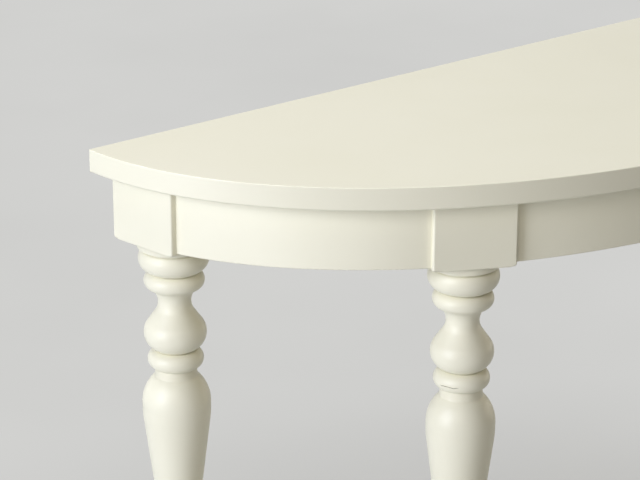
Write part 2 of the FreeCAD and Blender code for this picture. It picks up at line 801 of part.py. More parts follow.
def make_screw(name, length):
    head = size("screw_head_diameter") / 2
    tall = size("screw_head_height")
    shank = size("screw_diameter") / 2
    ease = tall / 3
    body = new_body(name)
    section = new_sketch(body, "section", "XZ_Plane")
    add_outline(
        section,
        [
            (0, -tall),
            (head - ease, -tall),
            (head, -tall + ease),
            (head, 0),
            (shank, 0),
            (shank, length - size("screw_point")),
            (0, length),
        ],
    )
    revolve(body, "turned", section)
    slim = size("screw_recess_width") / 2
    reach = size("screw_recess_length") / 2
    arm = [(slim, reach), (slim, slim), (reach, slim), (reach, -slim), (slim, -slim), (slim, -reach)]
    cross = new_sketch(body, "cross", "XY_Plane", Placement(Vector(0, 0, -tall), Rotation()))
    add_outline(cross, arm + [(-x, -y) for x, y in arm])
    feature(body, "Pocket", "cross_recess", cross, "Sizes.screw_recess_depth", reverse=True)
    return body


def copies(label, master, places):
    """Node of identical fasteners, one at each place."""
    links = []
    for place in places:
        link = doc.addObject("App::Link", f"{label}_copy")
        link.LinkedObject = master
        link.LinkPlacement = place
        links.append(link)
    group = doc.addObject("Part::Compound", label)
    group.Links = links
    return keep(group, label)


plate = size("bracket_thickness")
drop = size("bracket_hole_drop")
bracket_screw_places = []
for place in bracket_places.values():
    bracket_screw_places.append(place * Placement(Vector(0, drop, -plate), Rotation()))
    bracket_screw_places.append(place * Placement(Vector(0, plate, -drop), OUTWARD))
copies("bracket_screws", make_screw("bracket_screw", size("bracket_screw_length")), bracket_screw_places)
bearer_screw_length = size("bearer_height") - size("counterbore_depth") + size("bearer_screw_bite")
copies("bearer_screws", make_screw("bearer_screw", bearer_screw_length), bearer_screw_places)

# Feet: nail-on glides, each a moulded disc with a nail through it


def make_glide(label, place):
    rim = size("glide_diameter") / 2
    tall = size("glide_height")
    hole = size("nail_diameter") / 2 + size("nail_clearance")
    recess = size("nail_head_diameter") / 2 + size("nail_clearance")
    deep = size("nail_recess_depth")
    body = new_body(label, place)
    section = new_sketch(body, "section", "XZ_Plane")
    add_outline(section, [(recess, 0), (rim, 0), (rim, tall), (hole, tall), (hole, deep), (recess, deep)])
    disc = revolve(body, "disc", section)
    round_edges(
        body,
        "rim_round",
        disc,
        lambda edge: edge.BoundBox.XLength > rim and edge.BoundBox.ZMax < deep / 2,
        "Sizes.glide_edge_round",
    )
    return keep(body, label)


def make_nail():
    head = size("nail_head_diameter") / 2
    shank = size("nail_diameter") / 2
    seat = size("nail_recess_depth")
    tip = seat + size("nail_length")
    body = new_body("glide_nail")
    section = new_sketch(body, "section", "XZ_Plane")
    low = seat - size("nail_head_height")
    taper = tip - size("nail_diameter")
    add_outline(section, [(0, low), (head, low), (head, seat), (shank, seat), (shank, taper), (0, tip)])
    revolve(body, "turned", section)
    return body


foot_places = {}
for leg_name, leg_place in leg_places.items():
    foot_places[leg_name] = Placement(Vector(leg_place.Base.x, leg_place.Base.y, 0), leg_place.Rotation)
    make_glide(f"{leg_name}_glide", foot_places[leg_name])
copies("glide_nails", make_nail(), foot_places.values())

# Check every piece and write it out

doc.recompute()
for item in doc.Objects:
    if "Invalid" in item.State or "Error" in item.State:
        raise RuntimeError(f"{item.Label} did not build: {item.State}")
for piece in nodes:
    if piece.Shape.isNull() or not piece.Shape.isValid():
        raise RuntimeError(f"{piece.Label} has no valid shape")
    piece.Shape.exportStep(f"parts/{piece.Label}.step")
    print(f"{piece.Label}: {len(piece.Shape.Solids)} solids, {piece.Shape.Volume:.0f} mm3")
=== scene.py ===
import math

import bmesh
import bpy
from mathutils import Matrix, Vector


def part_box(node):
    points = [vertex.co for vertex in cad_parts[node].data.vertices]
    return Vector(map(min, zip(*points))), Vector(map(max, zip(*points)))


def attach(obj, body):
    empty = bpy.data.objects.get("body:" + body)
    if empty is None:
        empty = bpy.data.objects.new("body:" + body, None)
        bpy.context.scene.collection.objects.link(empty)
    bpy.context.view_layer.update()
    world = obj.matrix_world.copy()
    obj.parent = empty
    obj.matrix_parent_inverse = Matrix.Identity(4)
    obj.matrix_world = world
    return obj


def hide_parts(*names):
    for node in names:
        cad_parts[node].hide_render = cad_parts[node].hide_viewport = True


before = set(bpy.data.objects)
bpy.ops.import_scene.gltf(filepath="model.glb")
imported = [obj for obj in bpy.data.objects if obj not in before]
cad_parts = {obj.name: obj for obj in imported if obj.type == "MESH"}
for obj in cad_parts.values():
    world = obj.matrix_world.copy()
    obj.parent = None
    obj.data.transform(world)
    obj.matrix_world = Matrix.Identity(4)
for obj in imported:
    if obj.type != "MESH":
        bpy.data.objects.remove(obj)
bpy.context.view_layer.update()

# Legs. Each is one length of softwood, left square at the top and turned on a lathe below that, then
# sanded and sprayed cream before assembly. The lacquer rounds the block's edges, and the corners between
# the turned rings get a painted shade that also stands for a little pooled lacquer. Dowels in the
# block's sides hold the aprons.

# Sizes are in mm. FOOT_FLAT is the flat strip inside the rounded edge of the block's foot. The turning tool
# lifts the foot's corners from CORNER_CUT_START outward, measured from the leg's middle. LEG_FACING is how
# far a leg is turned from facing front, in degrees.
MM = 0.001
TOP_UNDERSIDE = 731
BLOCK_HALF = 34
BLOCK_HEIGHT = 57.0
BLOCK_EDGE = 1.6
BLOCK_FOOT_EDGE = 1.4
FOOT_FLAT = 0.6
SHARPEST_EDGE = 0.1
CORNER_CUT_START = 43.5
CORNER_CUT_RADIUS = 5.5
ROUND_STEPS = 6
LEG_SIDES = 96
CORNER_SHARE = 3
LEG_FACING = {"back": 82.5, "front": 27.55}

# Height of each turned stretch and the radius at its lower end, then for a round one the radius of its
# crest and how far down the crest is. All in mm, from the block down, where the radius is ROOT_RADIUS.
TURNING = {
    "shoulder": (6.5, 29.4),
    "groove_fall": (0.4, 25.2),
    "groove": (2.0, 25.2),
    "groove_rise": (0.3, 26.6),
    "collar": (19.0, 16.3, 28.8, 9.2),
    "upper_ring": (14.9, 18.7, 24.9, 6.9),
    "neck": (20.2, 16.6, 14.4, 6.4),
    "neck_flare": (7.9, 22.2),
    "bulb": (25.3, 15.2, 25.7, 12.3),
    "lower_ring": (15.9, 17.0, 23.1, 8.0),
    "waist": (7.2, 17.8),
    "body_shoulder": (26.1, 28.3, 26.3, 12.4),
    "body_crown": (15.5, 27.35, 28.14, 7.75),
    "body_taper": (47.0, 21.4),
    "shaft_cove": (130.0, 13.2, 15.25, 65.0),
    "shaft": (240.8, 12.6),
    "ankle_ring": (15.0, 13.0, 17.5, 7.5),
    "foot_swell": (22.0, 17.5, 16.4, 11.0),
    "foot_taper": (53.0, 12.0),
}
ROOT_RADIUS = 30.0

# The profile is drawn in fine steps, eased this many times as the coat eases it, and then thinned to the
# points that its shape needs.
PROFILE_STEP = 0.25
LACQUER_EASING = 2
PROFILE_TOLERANCE = 0.015

# A corner is full where the profile turns inward by this much, in radians, within so many steps each way.
# The painted shade in a corner spreads a little further.
FULL_CORNER = 0.9
CORNER_REACH = 3
CREASE_SHADE_SPREAD = 2


def along_arc(start, crest, end):
    """Points after start on the circle through start, crest and end, a step apart."""
    (ax, ay), (bx, by), (cx, cy) = start, crest, end
    twice = 2 * (ax * (by - cy) + bx * (cy - ay) + cx * (ay - by))
    a2, b2, c2 = ax * ax + ay * ay, bx * bx + by * by, cx * cx + cy * cy
    middle_x = (a2 * (by - cy) + b2 * (cy - ay) + c2 * (ay - by)) / twice
    middle_y = (a2 * (cx - bx) + b2 * (ax - cx) + c2 * (bx - ax)) / twice
    radius = math.hypot(ax - middle_x, ay - middle_y)
    first = math.atan2(ay - middle_y, ax - middle_x)
    to_crest, sweep = (
        math.remainder(math.atan2(y - middle_y, x - middle_x) - first, math.tau) for x, y in (crest, end)
    )
    if to_crest * sweep < 0 or abs(to_crest) > abs(sweep):
        sweep -= math.copysign(math.tau, sweep)
    count = max(2, math.ceil(abs(sweep) * radius / PROFILE_STEP))
    angles = [first + sweep * step / count for step in range(1, count + 1)]
    return [(middle_x + radius * math.cos(angle), middle_y + radius * math.sin(angle)) for angle in angles]


def along_line(start, end):
    """Points after start on the way to end, a step apart."""
    count = max(1, math.ceil(math.dist(start, end) / PROFILE_STEP))
    return [tuple(Vector(start).lerp(Vector(end), step / count)) for step in range(1, count + 1)]


def turned_profile():
    """Radius and depth down the turning, starting on the block's underside."""
    profile = [(BLOCK_HALF - BLOCK_FOOT_EDGE - FOOT_FLAT, BLOCK_HEIGHT)]
    profile += along_line(profile[-1], (ROOT_RADIUS, BLOCK_HEIGHT))
    for height, radius, *crest in TURNING.values():
        start = profile[-1]
        end = (radius, start[1] + height)
        if crest:
            profile += along_arc(start, (crest[0], start[1] + crest[1]), end)
        else:
            profile += along_line(start, end)
    for _ in range(LACQUER_EASING):
        eased = [
            tuple((a + 2 * b + c) / 4 for a, b, c in zip(before, here, after))
            for before, here, after in zip(profile, profile[1:], profile[2:])
        ]
        profile = [profile[0]] + eased + [profile[-1]]
    return profile


def hollow(profile):
    """How deep in a corner each profile point lies, 0 to 1, which sets how much painted shade it gets."""
    depth = [0.0] * len(profile)
    for index in range(CORNER_REACH, len(profile) - CORNER_REACH):
        before, here, after = (Vector(profile[index + shift]) for shift in (-CORNER_REACH, 0, CORNER_REACH))
        first, second = here - before, after - here
        turn = math.atan2(second.x * first.y - second.y * first.x, first.dot(second))
        depth[index] = min(1.0, max(0.0, turn / FULL_CORNER))
    return depth


def thinned(profile, first, last):
    """Indices after first, up to last, of the points that keep the profile's shape."""
    start, end = Vector(profile[first]), Vector(profile[last])
    across = Vector((end.y - start.y, start.x - end.x))
    across.normalize()
    gaps = [abs((Vector(profile[index]) - start).dot(across)) for index in range(first + 1, last)]
    if not gaps or max(gaps) < PROFILE_TOLERANCE:
        return [last]
    middle = first + 1 + gaps.index(max(gaps))
    return thinned(profile, first, middle) + thinned(profile, middle, last)


def block_ring(half, corner, depth, slope):
    """Rounded square and its normals; slope is how far the surface leans from upright to facing down.

    One point in CORNER_SHARE lies on a rounded corner, the others along the sides.
    """
    arc_points = LEG_SIDES // 4 // CORNER_SHARE
    side_points = LEG_SIDES // 4 - arc_points
    points, normals = [], []
    for quarter in range(4):
        turn = Matrix.Rotation(math.radians(90 * quarter), 3, "Z")
        for step in range(arc_points):
            angle = math.radians(90 * step / (arc_points - 1))
            out = Vector((math.cos(angle), math.sin(angle), 0))
            middle = Vector((half - corner, half - corner, -depth))
            points.append(turn @ (middle + corner * out))
            normals.append(turn @ (out * math.cos(slope) + Vector((0, 0, -math.sin(slope)))))
        for step in range(1, side_points + 1):
            share = step / (side_points + 1)
            points.append(turn @ Vector(((half - corner) * (1 - 2 * share), half, -depth)))
            normals.append(turn @ Vector((0, math.cos(slope), -math.sin(slope))))
    return points, normals


def corner_cut(points):
    """The ring with its corners raised, as the turning tool leaves them when it cuts in below the block."""
    raised = []
    for point in points:
        past = max(0, point.xy.length - CORNER_CUT_START)
        raised.append(point + Vector((0, 0, past**2 / (2 * CORNER_CUT_RADIUS))))
    return raised


def loft(name, rings, normals, attribute=None):
    """Closed mesh through rings of equal count, in mm, with its true normals; both ends are flat."""
    count = len(rings[0])
    points = [point * MM for ring in rings for point in ring]
    smooth = [normal.normalized() for ring in normals for normal in ring]
    faces = [
        (level * count + side, level * count + (side + 1) % count,
         (level + 1) * count + (side + 1) % count, (level + 1) * count + side)
        for level in range(len(rings) - 1)
        for side in range(count)
    ]
    faces.append(tuple(reversed(range(count))))
    faces.append(tuple(range(len(points) - count, len(points))))
    mesh = bpy.data.meshes.new(name)
    mesh.from_pydata(points, [], faces)
    skin = bmesh.new()
    skin.from_mesh(mesh)
    if skin.calc_volume(signed=True) < 0:
        bmesh.ops.reverse_faces(skin, faces=skin.faces)
    skin.to_mesh(mesh)
    skin.free()
    ends = len(faces) - 2
    corner_normals = []
    for polygon in mesh.polygons:
        polygon.use_smooth = True
        for vertex in polygon.vertices:
            corner_normals.append(polygon.normal.copy() if polygon.index >= ends else smooth[vertex])
    mesh.normals_split_custom_set(corner_normals)
    # Painted shade for the corners of the turning, one value per ring
    if attribute:
        layer = mesh.attributes.new("crease_shade", "FLOAT", "POINT")
        layer.data.foreach_set("value", [value for value in attribute for _ in range(count)])
    return mesh


def leg_rings():
    """Rings down one leg, their normals, and how much painted shade each gets for lying in a corner."""
    rings, normals, crease_shade = [], [], []
    for depth in (0.0, BLOCK_HEIGHT - BLOCK_FOOT_EDGE):
        points, facing = block_ring(BLOCK_HALF, BLOCK_EDGE, depth, 0)
        rings.append(corner_cut(points) if depth else points)
        normals.append(facing)
    for step in range(1, ROUND_STEPS + 1):
        slope = math.radians(90 * step / ROUND_STEPS)
        inset = BLOCK_FOOT_EDGE * (1 - math.cos(slope))
        depth = BLOCK_HEIGHT - BLOCK_FOOT_EDGE * (1 - math.sin(slope))
        points, facing = block_ring(BLOCK_HALF - inset, max(SHARPEST_EDGE, BLOCK_EDGE - inset), depth, slope)
        rings.append(corner_cut(points))
        normals.append(facing)
    crease_shade += [0.0] * len(rings)
    profile = turned_profile()
    corners = hollow(profile)
    kept = [0] + thinned(profile, 0, len(profile) - 1)
    arc_start = math.radians(45 - 45 / CORNER_SHARE)
    angles = [arc_start + math.tau * (side + 0.5) / LEG_SIDES for side in range(LEG_SIDES)]
    for index in kept:
        radius, depth = profile[index]
        ahead = Vector(profile[min(index + 1, len(profile) - 1)])
        run = ahead - Vector(profile[max(index - 1, 0)])
        rings.append([Vector((radius * math.cos(a), radius * math.sin(a), -depth)) for a in angles])
        normals.append([Vector((run.y * math.cos(a), run.y * math.sin(a), run.x)) for a in angles])
        # Painted shade: a ring takes the depth of the deepest corner within a few steps of it
        crease_shade.append(max(corners[max(0, index - CREASE_SHADE_SPREAD) : index + CREASE_SHADE_SPREAD + 1]))
    return rings, normals, crease_shade


def srgb(code):
    """Linear colour of an sRGB hex value."""
    channels = [int(code[place : place + 2], 16) / 255 for place in (1, 3, 5)]
    return tuple(c / 12.92 if c <= 0.04045 else ((c + 0.055) / 1.055) ** 2.4 for c in channels) + (1.0,)


def add_node(tree, kind, links=None, **settings):
    """A node with its settings, and with its inputs set to values or linked to other nodes' outputs."""
    made = tree.nodes.new(kind)
    for name, value in settings.items():
        setattr(made, name, value)
    for socket, source in (links or {}).items():
        if isinstance(source, bpy.types.NodeSocket):
            tree.links.new(source, made.inputs[socket])
        else:
            made.inputs[socket].default_value = source
    return made


# Sockets of a node that mixes two colours
MIX_SHARE, MIX_FIRST, MIX_SECOND, MIX_OUT = 0, 6, 7, 2


def new_material(name):
    """A material with no nodes yet."""
    material = bpy.data.materials.new(name)
    material.use_nodes = True
    material.node_tree.nodes.clear()
    return material


# Hairline in the coat: a split about half a millimetre wide that has filled with dust. It keeps nearly
# level round a turned ring and fades out at both ends, from this share of its reach on. Its bends and drift
# are in mm, and so are its core and rim, from its middle line.
HAIRLINE_BEND = 6
HAIRLINE_DRIFT = 1.2
HAIRLINE_CORE = 0.15
HAIRLINE_RIM = 0.4
HAIRLINE_DARKNESS = 0.85
HAIRLINE_FADE = 0.7


def hairline(tree, place, coat, middle, reach):
    offset = add_node(tree, "ShaderNodeVectorMath", {0: place, 1: middle}, operation="SUBTRACT")
    part = add_node(tree, "ShaderNodeSeparateXYZ", {0: offset.outputs[0]})
    wander = add_node(
        tree, "ShaderNodeTexNoise", {"Vector": place, "Scale": 1 / (HAIRLINE_BEND * MM), "Detail": 3.0}
    )
    most = HAIRLINE_DRIFT * MM
    drift = add_node(
        tree, "ShaderNodeMapRange", {"Value": wander.outputs["Fac"], "To Min": -most, "To Max": most}
    )
    level = add_node(tree, "ShaderNodeMath", {0: part.outputs["Z"], 1: drift.outputs[0]}, operation="ADD")
    gap = add_node(tree, "ShaderNodeMath", {0: level.outputs[0]}, operation="ABSOLUTE")
    width = add_node(
        tree,
        "ShaderNodeMapRange",
        {
            "Value": gap.outputs[0],
            "From Min": HAIRLINE_CORE * MM,
            "From Max": HAIRLINE_RIM * MM,
            "To Min": HAIRLINE_DARKNESS,
            "To Max": 0.0,
        },
    )
    away = add_node(
        tree, "ShaderNodeVectorMath", {0: offset.outputs[0], 1: (1.0, 1.0, 0.0)}, operation="MULTIPLY"
    )
    length = add_node(tree, "ShaderNodeVectorMath", {0: away.outputs[0]}, operation="LENGTH")
    ends = add_node(
        tree,
        "ShaderNodeMapRange",
        {
            "Value": length.outputs["Value"],
            "From Min": HAIRLINE_FADE * reach,
            "From Max": reach,
            "To Min": 1.0,
            "To Max": 0.0,
        },
    )
    share = add_node(
        tree, "ShaderNodeMath", {0: width.outputs[0], 1: ends.outputs[0]}, operation="MULTIPLY"
    )
    return add_node(
        tree,
        "ShaderNodeMix",
        {MIX_SHARE: share.outputs[0], MIX_FIRST: coat, MIX_SECOND: srgb("#6A5E43")},
        data_type="RGBA",
    )


# Satin cream lacquer, sprayed in two coats on sanded wood: an even, slightly warm white with a soft
# sheen. The spray dries to low ripples about 3 mm across. The corners of the turning get a painted
# shade towards brown-grey, which also stands for a little pooled lacquer. Sizes are in mm.
CLOUD_SIZE = 110
SHEEN_SIZE = 30
RIPPLE_SIZE = 3
RIPPLE_HEIGHT = 0.05
CREASE_SHADE_SHARE = 0.12


def cream_lacquer(name, crack=None):
    material = new_material(name)
    tree = material.node_tree
    place = add_node(tree, "ShaderNodeTexCoord").outputs["Object"]
    clouds = add_node(
        tree, "ShaderNodeTexNoise", {"Vector": place, "Scale": 1 / (CLOUD_SIZE * MM), "Detail": 3.0}
    )
    coat = add_node(
        tree,
        "ShaderNodeMix",
        {MIX_SHARE: clouds.outputs["Fac"], MIX_FIRST: srgb("#E9E6D2"), MIX_SECOND: srgb("#EEEBDA")},
        data_type="RGBA",
    )
    # Painted shade: the corners of the turning are mixed towards a brown-grey by how deep they lie
    corner = add_node(tree, "ShaderNodeAttribute", attribute_name="crease_shade")
    painted_crease_shade = add_node(
        tree, "ShaderNodeMath", {0: corner.outputs["Fac"], 1: CREASE_SHADE_SHARE}, operation="MULTIPLY"
    )
    colour = add_node(
        tree,
        "ShaderNodeMix",
        {MIX_SHARE: painted_crease_shade.outputs[0], MIX_FIRST: coat.outputs[MIX_OUT], MIX_SECOND: srgb("#A89D7B")},
        data_type="RGBA",
    )
    if crack:
        colour = hairline(tree, place, colour.outputs[MIX_OUT], *crack)
    sheen = add_node(
        tree, "ShaderNodeTexNoise", {"Vector": place, "Scale": 1 / (SHEEN_SIZE * MM), "Detail": 4.0}
    )
    roughness = add_node(
        tree, "ShaderNodeMapRange", {"Value": sheen.outputs["Fac"], "To Min": 0.35, "To Max": 0.45}
    )
    ripple = add_node(
        tree, "ShaderNodeTexNoise", {"Vector": place, "Scale": 1 / (RIPPLE_SIZE * MM), "Detail": 2.0}
    )
    bump = add_node(
        tree,
        "ShaderNodeBump",
        {"Height": ripple.outputs["Fac"], "Strength": 0.25, "Distance": RIPPLE_HEIGHT * MM},
    )
    shader = add_node(
        tree,
        "ShaderNodeBsdfPrincipled",
        {
            "Base Color": colour.outputs[MIX_OUT],
            "Roughness": roughness.outputs[0],
            "Normal": bump.outputs[0],
            "IOR": 1.5,
        },
    )
    add_node(tree, "ShaderNodeOutputMaterial", {"Surface": shader.outputs[0]})
    return material


# One leg has such a crack, along the crest of the ring below the bulb. Its middle is placed by its depth
# below the board, its distance from the leg's middle and its angle in plan, from the table's right.
CRACK_DEPTH = 162.3
CRACK_RADIUS = 23
CRACK_ANGLE = 201
CRACK_REACH = 9

lacquer = cream_lacquer("Cream_satin_lacquer")
leg_shape = leg_rings()
leg_places = {}
for hand, side in (("left", 1), ("right", -1)):
    for row, facing in LEG_FACING.items():
        node = f"{hand}_{row}_leg"
        low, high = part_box(node)
        middle = (low + high) / 2
        spin = Matrix.Rotation(math.radians(-side * facing), 4, "Z")
        leg_places[node] = Matrix.Translation((middle.x, middle.y, TOP_UNDERSIDE * MM)) @ spin
        mesh = loft(f"{node}_turned", *leg_shape)
        mesh.transform(leg_places[node])
        leg = bpy.data.objects.new(f"{node}_turned", mesh)
        bpy.context.scene.collection.objects.link(leg)
        if node == "left_front_leg":
            around = math.radians(CRACK_ANGLE)
            out = Vector((math.cos(around), math.sin(around), 0)) * CRACK_RADIUS
            spot = (Vector((0, 0, -CRACK_DEPTH)) + out) * MM + leg_places[node].translation
            mesh.materials.append(cream_lacquer("Cream_satin_lacquer_cracked", (spot, CRACK_REACH * MM)))
        else:
            mesh.materials.append(lacquer)
        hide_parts(node)
        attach(leg, "root")

# Aprons. Three curved rails, bent to the half oval and set 5 mm behind the faces of the leg blocks. Each
# is sawn square to the blocks at its ends, has its lower edges eased, and is sprayed with the legs.

# Sizes are in mm. APRON_STEP and PAST_BLOCK are degrees round the oval, the second one enough to get from
# the middle of a block to beyond its side.
BACK = 161
APRON_OUTER = (435, 301.5)
APRON_THICKNESS = 20
APRON_INNER = tuple(axis - APRON_THICKNESS for axis in APRON_OUTER)
APRON_HEIGHT = 54.9
APRON_BOTTOM = TOP_UNDERSIDE - APRON_HEIGHT
APRON_EASE = 1.2
EASE_STEPS = 4
APRON_STEP = 1.0
PAST_BLOCK = 30
HALVINGS = 50
APRONS = {
    "left_apron": (("left_back_leg", 1), ("left_front_leg", -1)),
    "front_apron": (("left_front_leg", 1), ("right_front_leg", -1)),
    "right_apron": (("right_front_leg", 1), ("right_back_leg", -1)),
}


def on_oval(axes, station):
    """Plan point on a half oval, at an angle round it from the left end."""
    return Vector((-axes[0] * math.cos(station), BACK - axes[1] * math.sin(station), 0))


def oval_meets_block(axes, leg, side):
    """Angle round the oval at which it reaches this side of a leg's block."""
    middle = leg_places[leg].translation / MM
    outward = leg_places[leg].to_3x3() @ Vector((side, 0, 0))
    near = math.atan2((BACK - middle.y) / axes[1], -middle.x / axes[0])
    far = near + side * math.radians(PAST_BLOCK)
    for _ in range(HALVINGS):
        halfway = (near + far) / 2
        if (on_oval(axes, halfway) - middle).dot(outward) < BLOCK_HALF:
            near = halfway
        else:
            far = halfway
    return near


def eased_section(outer, inner, top, bottom):
    """Upright section between two plan points with its lower edges eased, and its normals."""
    out = (outer - inner).normalized()
    down = Vector((0, 0, -1))
    points, normals = [outer + Vector((0, 0, top))], [out]
    for corner, facing, swing in ((outer, out, 0), (inner, -out, 1)):
        middle = corner - facing * APRON_EASE + Vector((0, 0, bottom + APRON_EASE))
        for step in range(EASE_STEPS + 1):
            share = step / EASE_STEPS
            angle = math.radians(90 * (1 - share if swing else share))
            normal = facing * math.cos(angle) + down * math.sin(angle)
            points.append(middle + normal * APRON_EASE)
            normals.append(normal)
    points.append(inner + Vector((0, 0, top)))
    normals.append(-out)
    return points, normals


for node, (start, finish) in APRONS.items():
    outer_ends = [oval_meets_block(APRON_OUTER, *end) for end in (start, finish)]
    inner_ends = [oval_meets_block(APRON_INNER, *end) for end in (start, finish)]
    count = math.ceil(math.degrees(outer_ends[1] - outer_ends[0]) / APRON_STEP)
    rings, normals = [], []
    for step in range(count + 1):
        share = step / count
        outer = on_oval(APRON_OUTER, outer_ends[0] + (outer_ends[1] - outer_ends[0]) * share)
        inner = on_oval(APRON_INNER, inner_ends[0] + (inner_ends[1] - inner_ends[0]) * share)
        points, facing = eased_section(outer, inner, TOP_UNDERSIDE, APRON_BOTTOM)
        rings.append(points)
        normals.append(facing)
    mesh = loft(f"{node}_bent", rings, normals)
    apron = bpy.data.objects.new(f"{node}_bent", mesh)
    bpy.context.scene.collection.objects.link(apron)
    mesh.materials.append(lacquer)
    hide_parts(node)
    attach(apron, "root")

# Back rail. A straight rail between the back legs, 12 mm inside the table's back edge, sawn to the slant
# of the leg blocks, eased below and lacquered like the aprons.

RAIL_SETBACK = 12
RAIL_BACK = BACK - RAIL_SETBACK
RAIL_FRONT = RAIL_BACK - APRON_THICKNESS
rings, normals = [], []
for leg in ("left_back_leg", "right_back_leg"):
    middle = leg_places[leg].translation / MM
    inward = leg_places[leg].to_3x3() @ Vector((0, 1, 0))
    ends = []
    for line in (RAIL_FRONT, RAIL_BACK):
        reach = BLOCK_HALF - (line - middle.y) * inward.y
        ends.append(Vector((middle.x + reach / inward.x, line, 0)))
    points, facing = eased_section(*ends, TOP_UNDERSIDE, APRON_BOTTOM)
    rings.append(points)
    normals.append(facing)
mesh = loft("back_rail_planed", rings, normals)
rail = bpy.data.objects.new("back_rail_planed", mesh)
bpy.context.scene.collection.objects.link(rail)
mesh.materials.append(lacquer)
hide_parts("back_rail")
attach(rail, "root")

# Dowels. Beech pegs, 8 mm across with chamfered ends, glued into bores in the legs, aprons, rail and
# bearer. Once the table is together they are out of sight inside the joints.

# Bare beech, turned to size: a pale pinkish brown, dry to the eye, with small darker flecks. Their sizes are
# in mm.
FLECK_SIZE = 2
FLECK_HEIGHT = 0.1
beech = new_material("Bare_beech")
tree = beech.node_tree
place = add_node(tree, "ShaderNodeTexCoord").outputs["Object"]
flecks = add_node(
    tree, "ShaderNodeTexNoise", {"Vector": place, "Scale": 1 / (FLECK_SIZE * MM), "Detail": 3.0}
)
colour = add_node(
    tree,
    "ShaderNodeMix",
    {MIX_SHARE: flecks.outputs["Fac"], MIX_FIRST: srgb("#D9B98F"), MIX_SECOND: srgb("#C39B6C")},
    data_type="RGBA",
)
fibre = add_node(
    tree,
    "ShaderNodeBump",
    {"Height": flecks.outputs["Fac"], "Strength": 0.3, "Distance": FLECK_HEIGHT * MM},
)
shader = add_node(
    tree,
    "ShaderNodeBsdfPrincipled",
    {"Base Color": colour.outputs[MIX_OUT], "Roughness": 0.62, "Normal": fibre.outputs[0]},
)
add_node(tree, "ShaderNodeOutputMaterial", {"Surface": shader.outputs[0]})


def finish_nodes(names, material):
    """Give the solids of these nodes one material."""
    for name in names:
        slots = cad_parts[name].data.materials
        slots.clear()
        slots.append(material)


finish_nodes([f"{apron}_dowels" for apron in (*APRONS, "back_rail")] + ["bearer_dowels"], beech)

# Glue blocks and centre bearer. Offcuts of planed pine: the blocks are sawn to a blunt triangle and rubbed
# into the corners behind the legs, and the bearer runs from the back rail to the front apron under the
# middle of the top. Nobody sees them, so they are left bare.

# Planed pine, unfinished: pale straw-yellow early wood with brown late-wood lines 2 to 4 mm apart that run
# along the piece, slightly furry across the grain. Two lines lie in one GRAIN_SIZE, in mm, and ALONG_GRAIN
# draws the pattern out along the piece.
TONE_SIZE = 30
GRAIN_SIZE = 6
GRAIN_HEIGHT = 0.2
ALONG_GRAIN = 0.06


def bare_pine(name, stretch):
    material = new_material(name)
    tree = material.node_tree
    place = add_node(tree, "ShaderNodeTexCoord").outputs["Object"]
    drawn = add_node(tree, "ShaderNodeVectorMath", {0: place, 1: stretch}, operation="MULTIPLY")
    tone = add_node(
        tree,
        "ShaderNodeTexNoise",
        {"Vector": drawn.outputs[0], "Scale": 1 / (TONE_SIZE * MM), "Detail": 2.0},
    )
    rings = add_node(
        tree,
        "ShaderNodeTexNoise",
        {"Vector": drawn.outputs[0], "Scale": 1 / (GRAIN_SIZE * MM), "Detail": 3.0, "Distortion": 0.6},
    )
    line = add_node(
        tree,
        "ShaderNodeMapRange",
        {"Value": rings.outputs["Fac"], "From Min": 0.45, "From Max": 0.62},
        interpolation_type="SMOOTHSTEP",
    )
    early = add_node(
        tree,
        "ShaderNodeMix",
        {MIX_SHARE: tone.outputs["Fac"], MIX_FIRST: srgb("#E6CB9B"), MIX_SECOND: srgb("#D8B67F")},
        data_type="RGBA",
    )
    colour = add_node(
        tree,
        "ShaderNodeMix",
        {MIX_SHARE: line.outputs[0], MIX_FIRST: early.outputs[MIX_OUT], MIX_SECOND: srgb("#BE925A")},
        data_type="RGBA",
    )
    fibre = add_node(
        tree,
        "ShaderNodeBump",
        {"Height": rings.outputs["Fac"], "Strength": 0.4, "Distance": GRAIN_HEIGHT * MM},
    )
    shader = add_node(
        tree,
        "ShaderNodeBsdfPrincipled",
        {"Base Color": colour.outputs[MIX_OUT], "Roughness": 0.68, "Normal": fibre.outputs[0]},
    )
    add_node(tree, "ShaderNodeOutputMaterial", {"Surface": shader.outputs[0]})
    return material


finish_nodes(["centre_bearer"], bare_pine("Planed_pine_bearer", (1, ALONG_GRAIN, 1)))
glue_blocks = [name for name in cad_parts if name.endswith("_glue_block")]
finish_nodes(glue_blocks, bare_pine("Planed_pine_blocks", (1, 1, ALONG_GRAIN)))

# Brackets and screws. Six pressed steel angles join the aprons and rail to the underside of the top, each
# with a screw up and a screw out, and two longer screws come up through the bearer. All are zinc plated.

# Bright zinc plate on steel: a cool grey metal with a faint cloudiness 4 mm across from the plating bath,
# which also makes it a little duller in some places than in others.
BLOOM_SIZE = 4
zinc = new_material("Zinc_plated_steel")
tree = zinc.node_tree
place = add_node(tree, "ShaderNodeTexCoord").outputs["Object"]
bloom = add_node(
    tree, "ShaderNodeTexNoise", {"Vector": place, "Scale": 1 / (BLOOM_SIZE * MM), "Detail": 4.0}
)
colour = add_node(
    tree,
    "ShaderNodeMix",
    {MIX_SHARE: bloom.outputs["Fac"], MIX_FIRST: srgb("#B9BDC2"), MIX_SECOND: srgb("#D3D5D4")},
    data_type="RGBA",
)
roughness = add_node(
    tree, "ShaderNodeMapRange", {"Value": bloom.outputs["Fac"], "To Min": 0.26, "To Max": 0.44}
)
shader = add_node(
    tree,
    "ShaderNodeBsdfPrincipled",
    {"Base Color": colour.outputs[MIX_OUT], "Metallic": 1.0, "Roughness": roughness.outputs[0]},
)
add_node(tree, "ShaderNodeOutputMaterial", {"Surface": shader.outputs[0]})
brackets = [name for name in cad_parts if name.endswith("_bracket")]
finish_nodes(brackets + ["bracket_screws", "bearer_screws", "glide_nails"], zinc)

# Table top. One 19 mm board cut to a half oval, its bowed edge just eased above and rounded by about 2 mm
# below, sprayed all over and screwed down from below through the brackets and the bearer.

